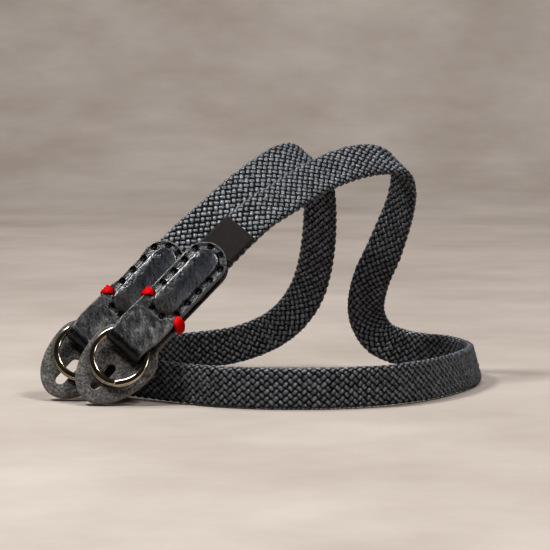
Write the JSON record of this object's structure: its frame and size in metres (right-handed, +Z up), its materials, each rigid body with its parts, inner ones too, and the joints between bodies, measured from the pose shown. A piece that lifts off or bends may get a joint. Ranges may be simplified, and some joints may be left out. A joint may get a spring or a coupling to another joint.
{
  "type": "flat rope camera strap",
  "caption": "Flat braided rope neck strap with folded leather tabs, split rings and slotted leather ring guards, draped as over a compact camera.",
  "frame": {"origin": "the point on the middle of the camera's top that the strap hangs over, 80 mm above the surface that the camera stands on", "axes": "+Z up, +X to the right as seen from the camera's front, +Y to the back"},
  "size_m": [0.1769, 0.1382, 0.0987],
  "materials": {
    "rope": "tight charcoal braid, slightly shiny yarns",
    "label": "bare dark woven patch",
    "tab_leather": "black waxed leather with grey wear",
    "ring_metal": "polished nickel plate",
    "guard_leather": "napped grey-black leather"
  },
  "bodies": {
    "root": {"rope": "rope", "label": "label", "front_tab": "tab_leather", "rear_tab": "tab_leather", "front_ring": "ring_metal", "rear_ring": "ring_metal", "front_guard": "guard_leather", "rear_guard": "guard_leather"}
  },
  "joints": []
}
